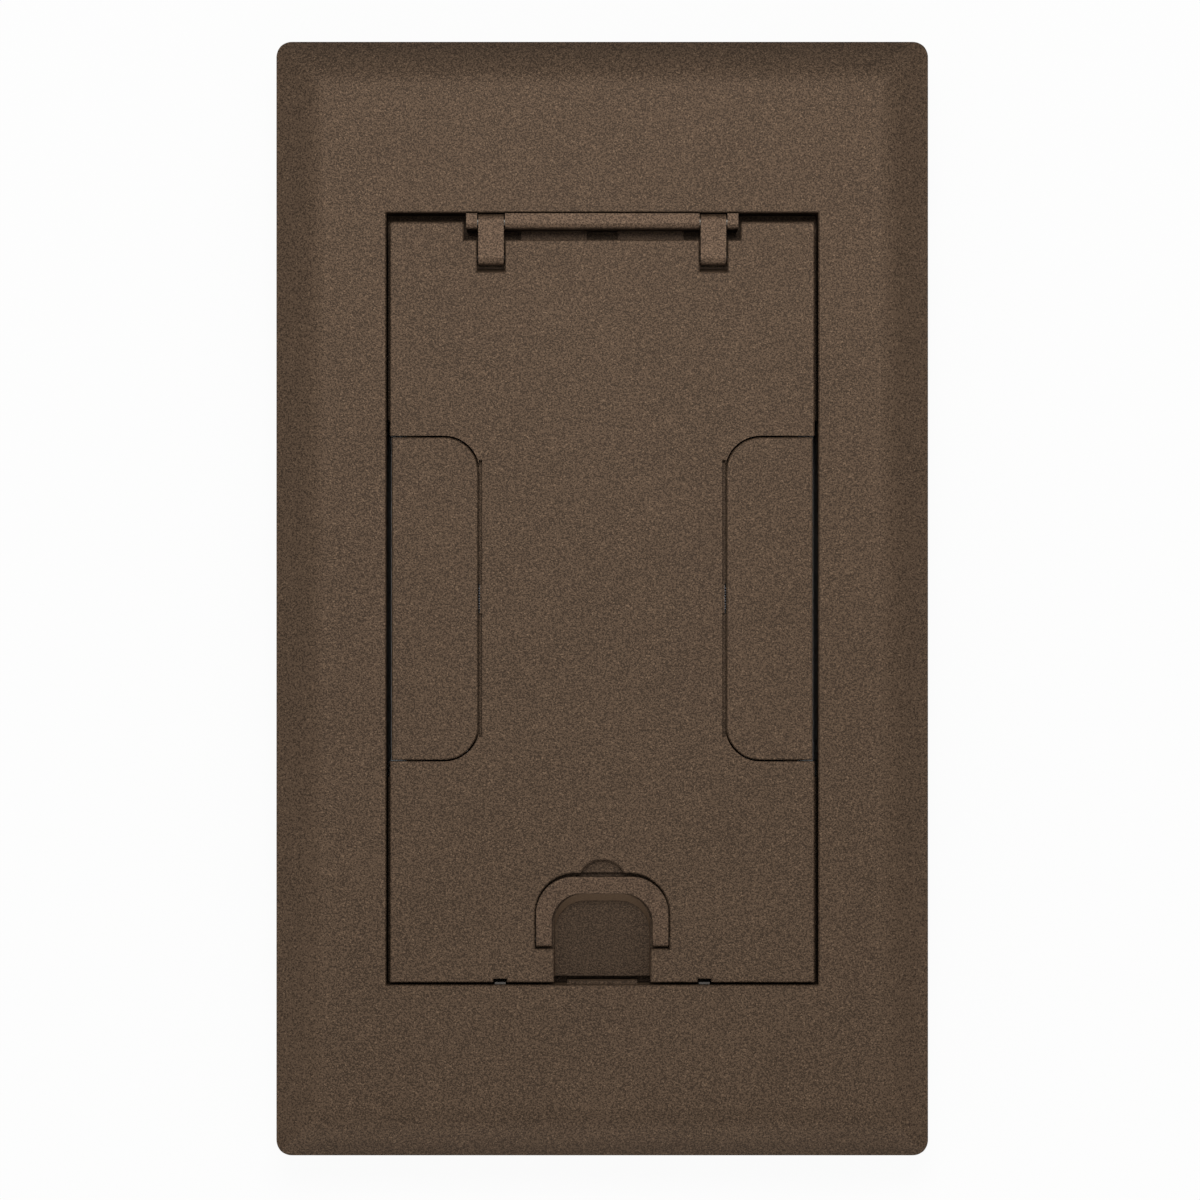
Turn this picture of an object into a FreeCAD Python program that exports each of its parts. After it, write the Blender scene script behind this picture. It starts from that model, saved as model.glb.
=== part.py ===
import FreeCAD, Part
import math
import os
import Sketcher

# Floor box cover: a flanged frame that drops into a floor box, a lid on two short links,
# two sprung cord doors and a flat lift handle.
# Millimetres. +Z is up and +Y is towards the hinge. The origin is the middle of the well's lower
# edge, and the flange lies on the floor at the height of the well's depth.

SIZES = {
    # Frame
    "flange_side": 22.7,
    "flange_end": 35.3,
    "plate_top": 5.0,
    "plate_corner": 3.2,
    "rim_height": 1.6,
    "bevel_run": 10.0,
    "bevel_crown": 11.0,
    "opening_width": 88.6,
    "opening_length": 158.4,
    "well_wall": 3.0,
    "well_depth": 18.0,
    "ledge_drop": 4.5,
    "ledge_thick": 3.5,
    "ledge_end_reach": 8.0,
    "ledge_side_reach": 4.0,
    "tab_reach": 6.7,
    "screw_inset": 6.3,
    "box_screw_bore": 2.2,
    "sill_half_width": 7.2,
    "sill_reach": 0.7,
    "sill_drop": 2.6,
    "floor_coffer_depth": 2.4,
    "floor_coffer_length": 9.0,
    "floor_coffer_rib": 2.5,
    "gasket_side_margin": 3.2,
    "gasket_end_margin": 15.0,
    "gasket_width": 5.0,
    "gasket_thick": 1.8,
    # Lid
    "lid_side_gap": 0.8,
    "lid_front_gap": 0.6,
    "lid_rear_gap": 1.9,
    "lid_skin": 3.2,
    "lid_depth": 8.0,
    "rib_inset": 0.9,
    "rib_wall": 2.2,
    "rib_rear_line": 65.4,
    "cutout_side_gap": 0.5,
    "cutout_reach": 5.7,
    "lid_rear_round": 0.7,
    # Hinge
    "frame_pin_inset": 1.85,
    "pin_spacing": 7.35,
    "hinge_pin_depth": 1.6,
    "hinge_pin_radius": 0.9,
    "hinge_pin_seat": 2.2,
    "running_gap": 0.06,
    "edge_break": 0.25,
    "link_inset": 5.1,
    "link_width": 5.25,
    "link_side_gap": 0.25,
    "link_slot_reach": 3.1,
    "link_slot_slope": 1.0,
    "link_floor_gap": 0.4,
    "bracket_half_width": 27.9,
    "bracket_seam": 0.25,
    "bracket_bar": 3.1,
    "bracket_round": 1.1,
    "bracket_foot_near": 3.2,
    "bracket_foot_far": 16.8,
    "bracket_foot_reach": 4.3,
    "bracket_foot_thick": 2.2,
    "lug_drop": 1.2,
    # Cord doors
    "door_half_length": 33.05,
    "door_width": 17.7,
    "door_outer_gap": 1.15,
    "door_corner": 7.0,
    "door_seam": 0.35,
    "door_thick": 4.0,
    "door_groove": 0.85,
    "door_groove_margin": 5.0,
    "spring_cover_drop": 0.9,
    "door_axis_inset": 0.45,
    "door_axis_depth": 3.5,
    "door_barrel_radius": 1.6,
    "door_barrel_half": 30.2,
    "door_barrel_gap": 0.3,
    "door_pin_radius": 0.9,
    "door_pin_seat": 2.4,
    "door_lug_radius": 1.75,
    "door_end_wall": 2.6,
    "door_coffer_depth": 1.6,
    "door_coffer_margin": 3.0,
    "stop_length": 3.0,
    "stop_reach": 1.2,
    "stop_thick": 1.4,
    "stop_gap": 0.2,
    "stop_swing": 1.4,
    "spring_half_length": 2.6,
    "spring_wire": 0.5,
    "spring_pin_gap": 0.1,
    "spring_end_gap": 0.4,
    "spring_leg": 5.0,
    "spring_leg_seat": 0.1,
    # Handle and finger scoop
    "bail_half_width": 13.6,
    "bail_leg": 3.3,
    "bail_bar": 3.5,
    "bail_axis_reach": 8.7,
    "bail_rise": 12.9,
    "bail_thick": 3.0,
    "bail_outer_round": 7.6,
    "bail_inner_round": 6.0,
    "bail_tip_round": 1.0,
    "bail_pin_radius": 0.8,
    "bail_pin_seat": 2.6,
    "bail_side_gap": 0.2,
    "bail_top_gap": 0.8,
    "bail_floor_gap": 0.4,
    "bail_end_gap": 0.4,
    "nail_radius": 4.95,
    "nail_rise": 2.7,
    "nail_depth": 2.0,
    "scoop_half_width": 9.9,
    "scoop_reach": 17.9,
    "scoop_back_round": 6.0,
    "scoop_depth": 5.5,
    "scoop_back_slope": 1.6,
    "scoop_side_slope": 0.2,
    # Catches
    "catch_offset": 20.95,
    "catch_notch_width": 2.75,
    "catch_notch_depth": 0.7,
    "catch_width": 2.2,
    "catch_sheet": 0.4,
    "catch_wall_gap": 0.05,
    "catch_rise": 7.6,
    "catch_bump": 0.5,
    "catch_foot": 7.4,
    "catch_screw_line": 5.8,
    "small_screw_radius": 1.0,
    "small_head_radius": 1.8,
    "small_head_height": 0.9,
    "small_screw_length": 3.2,
    "bracket_screw_radius": 1.5,
    "bracket_head_radius": 2.8,
    "bracket_head_height": 1.8,
    "bracket_screw_length": 5.4,
    "bracket_screw_setback": 1.6,
    # Rest pads
    "pad_half_width": 1.4,
    "pad_end_margin": 21.2,
    "pad_wall_gap": 1.1,
}

doc = FreeCAD.newDocument("floor_box_cover")
sheet = doc.addObject("Spreadsheet::Sheet", "sizes")
for row, (alias, number) in enumerate(SIZES.items(), start=1):
    sheet.set(f"A{row}", alias)
    sheet.set(f"B{row}", str(number))
    sheet.setAlias(f"B{row}", alias)
doc.recompute()


class Size:
    """A length together with the sheet expression that gives it."""

    def __init__(self, value, text):
        self.value = float(value)
        self.text = text

    @staticmethod
    def of(other):
        return other if isinstance(other, Size) else Size(other, repr(float(other)))

    def __add__(self, other):
        other = Size.of(other)
        return Size(self.value + other.value, f"({self.text} + {other.text})")

    def __sub__(self, other):
        other = Size.of(other)
        return Size(self.value - other.value, f"({self.text} - {other.text})")

    def __mul__(self, number):
        return Size(self.value * number, f"({self.text} * {float(number)!r})")

    def __neg__(self):
        return self * -1.0

    __radd__ = __add__
    __rmul__ = __mul__


def size(alias):
    return Size(getattr(sheet, alias), f"sizes.{alias}")


ZERO = Size.of(0.0)
CLEAR = Size.of(1.0)

# Levels and lines that several pieces share

opening_x = size("opening_width") * 0.5
opening_y = size("opening_length") * 0.5
plate_x = opening_x + size("flange_side")
plate_y = opening_y + size("flange_end")
well_x = opening_x + size("well_wall")
well_y = opening_y + size("well_wall")
floor = size("well_depth")
top = floor + size("plate_top")
rim = floor + size("rim_height")
ledge_top = floor - size("ledge_drop")
ledge_bottom = ledge_top - size("ledge_thick")

lid_x = opening_x - size("lid_side_gap")
lid_front = -(opening_y - size("lid_front_gap"))
lid_rear = opening_y - size("lid_rear_gap")
skin_bottom = top - size("lid_skin")
lid_bottom = top - size("lid_depth")
rib_x = lid_x - size("rib_inset")
rib_front = lid_front + size("rib_inset")
rib_rear = size("rib_rear_line")
cutout_x = size("bracket_half_width") + size("cutout_side_gap")
cutout_front = opening_y - size("cutout_reach")

frame_pin_y = opening_y - size("frame_pin_inset")
lid_pin_y = frame_pin_y - size("pin_spacing")
hinge_pin_z = top - size("hinge_pin_depth")
link_x = size("bracket_half_width") - size("link_inset")
link_slot_half = size("link_width") * 0.5 + size("link_side_gap")
link_slot_floor = top - size("hinge_pin_depth") * 2.0 - size("link_floor_gap")
link_slot_front = lid_pin_y - size("link_slot_reach")
bracket_back = opening_y - size("bracket_seam")
bracket_front = bracket_back - size("bracket_bar")

door_outer = opening_x - size("door_outer_gap")
door_inner = door_outer - size("door_width")
door_axis_x = door_inner - size("door_axis_inset")
door_axis_z = top - size("door_axis_depth")
door_bottom = top - size("door_thick")
groove_x = door_inner - size("door_groove")
barrel_clear = size("door_barrel_radius") + size("door_barrel_gap")
hinge_wall_x = door_axis_x - barrel_clear
door_end_y = size("door_half_length") + size("door_seam")
end_wall_y = door_end_y + size("door_end_wall")
ledge_stop_y = end_wall_y + size("rib_inset")

bail_axis_y = lid_front + size("bail_axis_reach")
bail_radius = size("bail_thick") * 0.5
bail_axis_z = top - bail_radius
bail_end_y = bail_axis_y - bail_radius
bail_top_y = bail_axis_y + size("bail_rise")
recess_x = size("bail_half_width") + size("bail_side_gap")
recess_top_y = bail_top_y + size("bail_top_gap")
recess_floor = top - size("bail_thick") - size("bail_floor_gap")
scoop_floor = top - size("scoop_depth")


def origin_plane(body, role):
    return next(item for item in body.Origin.OriginFeatures if item.Role == role)


def new_body(label):
    body = doc.addObject("PartDesign::Body", label)
    body.Label = label
    return body


def new_sketch(body, name, role, offset):
    """A sketch on an origin plane: XY runs along Z, XZ along -Y and YZ along X."""
    made = body.newObject("Sketcher::SketchObject", name)
    made.AttachmentSupport = (origin_plane(body, role), [""])
    made.MapMode = "FlatFace"
    made.setExpression("AttachmentOffset.Base.z", offset.text)
    return made


def pin_point(sketch, geometry, end, x, y):
    for kind, place in (("DistanceX", x), ("DistanceY", y)):
        index = sketch.addConstraint(Sketcher.Constraint(kind, -1, 1, geometry, end, place.value))
        sketch.setExpression(f"Constraints[{index}]", place.text)


def set_radius(sketch, geometry, radius):
    index = sketch.addConstraint(Sketcher.Constraint("Radius", geometry, radius.value))
    sketch.setExpression(f"Constraints[{index}]", radius.text)


def outline(sketch, corners):
    """A closed outline of straight edges. A corner with a third value is rounded by it,
    and both its edges then run along an axis."""
    corners = [tuple(Size.of(value) for value in corner) for corner in corners]
    count = len(corners)

    def direction(start, finish):
        run = finish[0].value - start[0].value
        rise = finish[1].value - start[1].value
        length = math.hypot(run, rise)
        return round(run / length), round(rise / length)

    path = []
    for index, corner in enumerate(corners):
        if len(corner) == 2:
            path.append((corner[0], corner[1], None, None))
            continue
        x, y, radius = corner
        into = direction(corners[index - 1], corner)
        out = direction(corner, corners[(index + 1) % count])
        turn = into[0] * out[1] - into[1] * out[0]
        middle = (x.value - radius.value * (into[0] - out[0]), y.value - radius.value * (into[1] - out[1]))
        path.append((x - radius * into[0], y - radius * into[1], radius, (middle, turn)))
        path.append((x + radius * out[0], y + radius * out[1], None, None))

    segments = []
    for index, (x, y, radius, bend) in enumerate(path):
        following = path[(index + 1) % len(path)]
        start = FreeCAD.Vector(x.value, y.value, 0)
        finish = FreeCAD.Vector(following[0].value, following[1].value, 0)
        if radius is None:
            number = sketch.addGeometry(Part.LineSegment(start, finish), False)
            segments.append((number, 1, 2))
            continue
        middle, turn = bend
        centre = FreeCAD.Vector(middle[0], middle[1], 0)
        first, last = (start, finish) if turn > 0 else (finish, start)
        angles = [math.atan2(p.y - centre.y, p.x - centre.x) for p in (first, last)]
        if angles[1] < angles[0]:
            angles[1] += 2 * math.pi
        circle = Part.Circle(centre, FreeCAD.Vector(0, 0, 1), radius.value)
        number = sketch.addGeometry(Part.ArcOfCircle(circle, angles[0], angles[1]), False)
        segments.append((number, 1, 2) if turn > 0 else (number, 2, 1))

    for index, (number, _, end) in enumerate(segments):
        following = segments[(index + 1) % len(segments)]
        sketch.addConstraint(Sketcher.Constraint("Coincident", number, end, following[0], following[1]))
    for (number, start, _), (x, y, radius, _) in zip(segments, path):
        pin_point(sketch, number, start, x, y)
        if radius is not None:
            set_radius(sketch, number, radius)


def rectangle(sketch, x_low, x_high, y_low, y_high, radius=None):
    corners = [(x_low, y_low), (x_high, y_low), (x_high, y_high), (x_low, y_high)]
    if radius is not None:
        corners = [corner + (radius,) for corner in corners]
    outline(sketch, corners)


def circle(sketch, x, y, radius):
    x, y = Size.of(x), Size.of(y)
    centre = FreeCAD.Vector(x.value, y.value, 0)
    number = sketch.addGeometry(Part.Circle(centre, FreeCAD.Vector(0, 0, 1), radius.value), False)
    pin_point(sketch, number, 3, x, y)
    set_radius(sketch, number, radius)


def extrude(body, kind, name, sketch, length, along=True):
    """Pads or pockets a sketch by a length, along its normal or against it."""
    before = None
    if kind == "Pocket":
        doc.recompute()
        before = body.Shape.Volume
    made = body.newObject(f"PartDesign::{kind}", name)
    made.Profile = sketch
    made.setExpression("Length", length.text)
    made.Reversed = along if kind == "Pocket" else not along
    if before is not None:
        doc.recompute()
        if not body.Shape.Volume < before - 1e-6:
            raise RuntimeError(f"{body.Label}: {name} cuts nothing")
    return made


def pad_up(body, name, low, high, *shapes):
    """Adds material between two levels; each shape draws a closed outline in the sketch."""
    sketch = new_sketch(body, name + "_sketch", "XY_Plane", low)
    for draw in shapes:
        draw(sketch)
    return extrude(body, "Pad", name, sketch, high - low)


def cut_up(body, name, low, high, *shapes):
    sketch = new_sketch(body, name + "_sketch", "XY_Plane", low)
    for draw in shapes:
        draw(sketch)
    return extrude(body, "Pocket", name, sketch, high - low)


def box_shape(x_low, x_high, y_low, y_high, radius=None):
    return lambda sketch: rectangle(sketch, x_low, x_high, y_low, y_high, radius)


def poly_shape(*corners):
    return lambda sketch: outline(sketch, corners)


def round_shape(x, y, radius):
    return lambda sketch: circle(sketch, x, y, radius)


def along_x(body, kind, name, x_low, x_high, *shapes):
    """Adds or cuts a form drawn in Y and Z, from one X to another."""
    sketch = new_sketch(body, name + "_sketch", "YZ_Plane", x_low)
    for draw in shapes:
        draw(sketch)
    return extrude(body, kind, name, sketch, x_high - x_low)


def along_y(body, kind, name, y_low, y_high, *shapes):
    """Adds or cuts a form drawn in X and Z, from one Y to another."""
    sketch = new_sketch(body, name + "_sketch", "XZ_Plane", -y_high)
    for draw in shapes:
        draw(sketch)
    return extrude(body, kind, name, sketch, y_high - y_low)


def span(low, high, side):
    """An X span on the right, or its mirror image on the left."""
    return (Size.of(low), Size.of(high)) if side > 0 else (-Size.of(high), -Size.of(low))


def edges_where(body, test):
    doc.recompute()
    shape = body.Tip.Shape
    return [f"Edge{number}" for number, edge in enumerate(shape.Edges, start=1) if test(edge)]


def near(value, wanted):
    return abs(value - wanted) < 0.01


def flat_at(edge, level):
    box = edge.BoundBox
    return near(box.ZMin, level.value) and near(box.ZMax, level.value)


def dress(body, kind, name, edges, amount):
    if not edges:
        raise RuntimeError(f"{body.Label}: {name} found no edges")
    made = body.newObject(f"PartDesign::{kind}", name)
    made.Base = (body.Tip if made is not body.Tip else body.Group[-2], edges)
    made.setExpression("Radius" if kind == "Fillet" else "Size", amount.text)
    body.Tip = made
    return made


def ease(body, amount, test=None):
    """Breaks the sharp edges that lie in the part's top face."""
    def sharp(edge):
        return flat_at(edge, top) and (test is None or test(edge))

    return dress(body, "Chamfer", "eased_edges", edges_where(body, sharp), amount)


# Cover frame

def crown_profile(sketch, edge):
    """What is cut away above the flange's slope: an arc next to the flat top, then a line."""
    flat_end = edge - size("bevel_run")
    crown = size("bevel_crown")
    drop = (top - rim).value
    run, radius = size("bevel_run").value, crown.value
    centre = (flat_end.value, top.value - radius)
    # The slope leaves the arc where it touches it: the tangent from the rim's corner to the circle.
    reach = math.hypot(run, radius - drop)
    angle = math.atan2(radius - drop, run) + math.acos(radius / reach)
    touch = (centre[0] + radius * math.cos(angle), centre[1] + radius * math.sin(angle))
    points = [
        (flat_end, top),
        touch,
        (edge, rim),
        (edge + CLEAR, rim),
        (edge + CLEAR, top + CLEAR),
        (flat_end, top + CLEAR),
    ]
    arc = Part.ArcOfCircle(
        Part.Circle(FreeCAD.Vector(centre[0], centre[1], 0), FreeCAD.Vector(0, 0, 1), radius),
        angle,
        math.pi / 2,
    )
    curve = sketch.addGeometry(arc, False)
    places = [FreeCAD.Vector(*(Size.of(value).value for value in point), 0) for point in points]
    lines = []
    for first, second in ((1, 2), (2, 3), (3, 4), (4, 5), (5, 0)):
        lines.append(sketch.addGeometry(Part.LineSegment(places[first], places[second]), False))
    for line, following in zip(lines, lines[1:]):
        sketch.addConstraint(Sketcher.Constraint("Coincident", line, 2, following, 1))
    sketch.addConstraint(Sketcher.Constraint("Coincident", lines[-1], 2, curve, 2))
    sketch.addConstraint(Sketcher.Constraint("Tangent", curve, 1, lines[0], 1))
    for line, point in zip(lines[1:], points[2:]):
        pin_point(sketch, line, 1, *point)
    pin_point(sketch, curve, 3, flat_end, top - crown)
    set_radius(sketch, curve, crown)


def make_cover_frame():
    body = new_body("cover_frame")
    pad_up(body, "flange", floor, top, box_shape(-plate_x, plate_x, -plate_y, plate_y, size("plate_corner")))
    pad_up(body, "well", ZERO, top, box_shape(-well_x, well_x, -well_y, well_y))
    cut_up(body, "opening", -CLEAR, top + CLEAR,
           box_shape(-opening_x, opening_x, -opening_y, opening_y))

    crown = new_sketch(body, "side_crown_sketch", "XZ_Plane", -(plate_y + CLEAR))
    crown_profile(crown, plate_x)
    side_cut = extrude(body, "Pocket", "side_crown", crown, (plate_y + CLEAR) * 2.0)
    crown = new_sketch(body, "end_crown_sketch", "YZ_Plane", -(plate_x + CLEAR))
    crown_profile(crown, plate_y)
    end_cut = extrude(body, "Pocket", "end_crown", crown, (plate_x + CLEAR) * 2.0)
    for name, feature, role in (("side_crowns", side_cut, "YZ_Plane"), ("end_crowns", end_cut, "XZ_Plane")):
        mirror = body.newObject("PartDesign::Mirrored", name)
        mirror.Originals = [feature]
        mirror.MirrorPlane = (origin_plane(body, role), [""])
        body.Tip = mirror
        doc.recompute()

    inner_x = opening_x - size("ledge_side_reach")
    inner_y = opening_y - size("ledge_end_reach")
    tab = size("tab_reach")
    for name, side in (("rear_ledge", 1.0), ("front_ledge", -1.0)):
        corners = [
            (opening_x, ledge_stop_y),
            (opening_x, opening_y),
            (-opening_x, opening_y),
            (-opening_x, ledge_stop_y),
            (-inner_x, ledge_stop_y),
            (-inner_x, inner_y - tab),
            (-(inner_x - tab), inner_y),
            (inner_x - tab, inner_y),
            (inner_x, inner_y - tab),
            (inner_x, ledge_stop_y),
        ]
        pad_up(body, name, ledge_bottom, ledge_top, poly_shape(*[(x, y * side) for x, y in corners]))

    sill_x = size("sill_half_width")
    pad_up(body, "front_sill", ledge_top, top - size("sill_drop"),
           box_shape(-sill_x, sill_x, -opening_y, -(opening_y - size("sill_reach"))))

    screw_x = opening_x - size("screw_inset")
    screw_y = opening_y - size("screw_inset")
    corners = [(x, y) for x in (-1.0, 1.0) for y in (-1.0, 1.0)]
    bores = [round_shape(screw_x * x, screw_y * y, size("box_screw_bore")) for x, y in corners]
    cut_up(body, "box_screw_holes", ledge_bottom - CLEAR, ledge_top + CLEAR, *bores)

    screws = [round_shape(catch_screw_x * side, catch_screw_y, size("small_screw_radius")) for side in (-1.0, 1.0)]
    cut_up(body, "catch_screw_holes", catch_screw_tip, ledge_top + CLEAR, *screws)
    screws = [round_shape(bracket_screw_x * side, bracket_screw_y, size("bracket_screw_radius"))
              for side in (-1.0, 1.0)]
    cut_up(body, "bracket_screw_holes", ledge_bottom - CLEAR, ledge_top + CLEAR, *screws)

    width = size("gasket_width")
    outer_x = well_x + size("gasket_side_margin") + width
    outer_y = well_y + size("gasket_end_margin") + width
    cut_up(body, "gasket_channel", floor, floor + size("gasket_thick"),
           box_shape(-outer_x, outer_x, -outer_y, outer_y),
           box_shape(-(outer_x - width), outer_x - width, -(outer_y - width), outer_y - width))

    rib = size("floor_coffer_rib")
    coffer = (well_x * 2.0 - rib * 3.0) * 0.25
    near_y = well_y + rib
    far_y = near_y + size("floor_coffer_length")
    coffers = []
    for place in range(4):
        low = -well_x + (coffer + rib) * float(place)
        coffers.append(box_shape(low, low + coffer, near_y, far_y))
        coffers.append(box_shape(low, low + coffer, -far_y, -near_y))
    cut_up(body, "floor_coffers", floor, floor + size("floor_coffer_depth"), *coffers)

    def opening_edge(edge):
        box = edge.BoundBox
        return max(abs(box.XMin), abs(box.XMax)) < opening_x.value + 0.01 and (
            max(abs(box.YMin), abs(box.YMax)) < opening_y.value + 0.01)

    ease(body, size("edge_break"), opening_edge)
    return body


def make_floor_gasket():
    body = new_body("floor_gasket")
    width = size("gasket_width")
    outer_x = well_x + size("gasket_side_margin") + width
    outer_y = well_y + size("gasket_end_margin") + width
    pad_up(body, "foam", floor, floor + size("gasket_thick"),
           box_shape(-outer_x, outer_x, -outer_y, outer_y),
           box_shape(-(outer_x - width), outer_x - width, -(outer_y - width), outer_y - width))
    return body


# Hinge

bracket_screw_x = (size("bracket_foot_near") + size("bracket_foot_far")) * 0.5
bracket_screw_y = bracket_front - size("bracket_screw_setback")
catch_screw_x = size("catch_offset")
catch_screw_y = -(opening_y - size("catch_screw_line"))
catch_screw_tip = ledge_top + size("catch_sheet") - size("small_screw_length")
pad_x = opening_x - size("pad_wall_gap") - size("pad_half_width")
pad_y = opening_y - size("pad_end_margin")


def make_hinge_bracket():
    body = new_body("hinge_bracket")
    half = size("bracket_half_width")
    pad_up(body, "bar", ledge_top, top, box_shape(-half, half, bracket_front, bracket_back))

    def front_top(edge):
        box = edge.BoundBox
        return flat_at(edge, top) and near(box.YMin, bracket_front.value) and near(box.YMax, bracket_front.value)

    dress(body, "Fillet", "bar_round", edges_where(body, front_top), size("bracket_round"))
    foot_front = bracket_front - size("bracket_foot_reach")
    feet = []
    slots = []
    for side in (-1.0, 1.0):
        low, high = span(size("bracket_foot_near"), size("bracket_foot_far"), side)
        feet.append(box_shape(low, high, foot_front, bracket_front))
        low, high = span(link_x - link_slot_half, link_x + link_slot_half, side)
        slots.append(box_shape(low, high, bracket_front - CLEAR, bracket_back + CLEAR))
    pad_up(body, "feet", ledge_top, ledge_top + size("bracket_foot_thick"), *feet)
    cut_up(body, "link_slots", link_slot_floor, top + CLEAR, *slots)
    for side, name in ((-1.0, "left"), (1.0, "right")):
        low, high = span(*frame_pin_span, side)
        along_x(body, "Pocket", f"pin_bore_{name}", low, high,
                round_shape(frame_pin_y, hinge_pin_z, size("hinge_pin_radius")))
    tip = ledge_bottom + size("bracket_screw_length")
    screws = [round_shape(bracket_screw_x * side, bracket_screw_y, size("bracket_screw_radius"))
              for side in (-1.0, 1.0)]
    cut_up(body, "screw_holes", ledge_top - CLEAR, tip, *screws)
    return body


frame_pin_span = (
    link_x - link_slot_half - size("hinge_pin_seat"),
    size("bracket_half_width") - size("link_side_gap"),
)
lid_pin_span = (
    link_x - link_slot_half - size("hinge_pin_seat"),
    link_x + link_slot_half + size("hinge_pin_seat"),
)


def make_hinge_link(side, name):
    """A flat strap with round ends, bored for its two pins."""
    body = new_body(f"hinge_link_{name}")
    radius = size("hinge_pin_depth")
    half = size("link_width") * 0.5
    low, high = span(link_x - half, link_x + half, side)
    along_x(body, "Pad", "strap", low, high,
            poly_shape((lid_pin_y - radius, hinge_pin_z - radius, radius * 0.999),
                       (frame_pin_y + radius, hinge_pin_z - radius, radius * 0.999),
                       (frame_pin_y + radius, hinge_pin_z + radius, radius * 0.999),
                       (lid_pin_y - radius, hinge_pin_z + radius, radius * 0.999)))
    bore = size("hinge_pin_radius") + size("running_gap")
    along_x(body, "Pocket", "pin_bores", low - CLEAR, high + CLEAR,
            round_shape(frame_pin_y, hinge_pin_z, bore),
            round_shape(lid_pin_y, hinge_pin_z, bore))
    return body


def pin_object(label, rotation, x, y, z, radius, length):
    made = doc.addObject("Part::Cylinder", label)
    made.Label = label
    made.Placement = FreeCAD.Placement(FreeCAD.Vector(0, 0, 0), rotation)
    made.setExpression("Radius", radius.text)
    made.setExpression("Height", length.text)
    for axis, place in (("x", x), ("y", y), ("z", z)):
        made.setExpression(f"Placement.Base.{axis}", Size.of(place).text)
    return made


TO_X = FreeCAD.Rotation(FreeCAD.Vector(0, 1, 0), 90)
TO_Y = FreeCAD.Rotation(FreeCAD.Vector(1, 0, 0), -90)


# Lid

def make_lid():
    body = new_body("lid")
    pad_up(body, "skin", skin_bottom, top,
           poly_shape((-lid_x, lid_front), (lid_x, lid_front), (lid_x, lid_rear), (cutout_x, lid_rear),
                      (cutout_x, cutout_front), (-cutout_x, cutout_front), (-cutout_x, lid_rear),
                      (-lid_x, lid_rear)))

    def rear_top(edge):
        box = edge.BoundBox
        return flat_at(edge, top) and near(box.YMin, lid_rear.value) and near(box.YMax, lid_rear.value)

    dress(body, "Fillet", "rear_round", edges_where(body, rear_top), size("lid_rear_round"))
    pad_up(body, "underside", lid_bottom, skin_bottom, box_shape(-rib_x, rib_x, rib_front, rib_rear))

    wall = size("rib_wall")
    half_wall = wall * 0.5
    hinge_rib = hinge_wall_x - wall
    pan_back = recess_top_y + size("nail_rise") + wall
    inner_rear = rib_rear - wall
    coffers = []
    for side in (-1.0, 1.0):
        low, high = span(half_wall, hinge_rib, side)
        stations = [pan_back, -door_end_y * 0.5, door_end_y * 0.5, inner_rear]
        for first, second in zip(stations, stations[1:]):
            start = first if first is pan_back else first + half_wall
            end = second if second is inner_rear else second - half_wall
            coffers.append(box_shape(low, high, start, end))
        low, high = span(hinge_wall_x, rib_x - wall, side)
        coffers.append(box_shape(low, high, end_wall_y, inner_rear))
        coffers.append(box_shape(low, high, rib_front + wall, -end_wall_y))
    cut_up(body, "coffers", lid_bottom - CLEAR, skin_bottom, *coffers)

    lugs = []
    for side in (-1.0, 1.0):
        low, high = span(lid_pin_span[0] - half_wall, lid_pin_span[1] + half_wall, side)
        lugs.append(box_shape(low, high, rib_rear, cutout_front))
    pad_up(body, "link_lugs", skin_bottom - size("lug_drop"), skin_bottom, *lugs)
    for side, name in ((-1.0, "left"), (1.0, "right")):
        low, high = span(link_x - link_slot_half, link_x + link_slot_half, side)
        along_x(body, "Pocket", f"link_slot_{name}", low, high,
                poly_shape((link_slot_front, top + CLEAR), (link_slot_front, top),
                           (link_slot_front + size("link_slot_slope"), link_slot_floor),
                           (cutout_front + CLEAR, link_slot_floor), (cutout_front + CLEAR, top + CLEAR)))
        low, high = span(*lid_pin_span, side)
        along_x(body, "Pocket", f"pin_bore_{name}", low, high,
                round_shape(lid_pin_y, hinge_pin_z, size("hinge_pin_radius")))

    for side, name in ((-1.0, "left"), (1.0, "right")):
        cut_door_opening(body, side, name)
    cut_handle_recess(body)

    def beside_doors(edge):
        box = edge.BoundBox
        return max(abs(box.YMin), abs(box.YMax)) < door_end_y.value + 0.01 and (
            min(abs(box.XMin), abs(box.XMax)) > groove_x.value - 0.01)

    ease(body, size("edge_break"), lambda edge: not beside_doors(edge))
    return body


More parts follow.
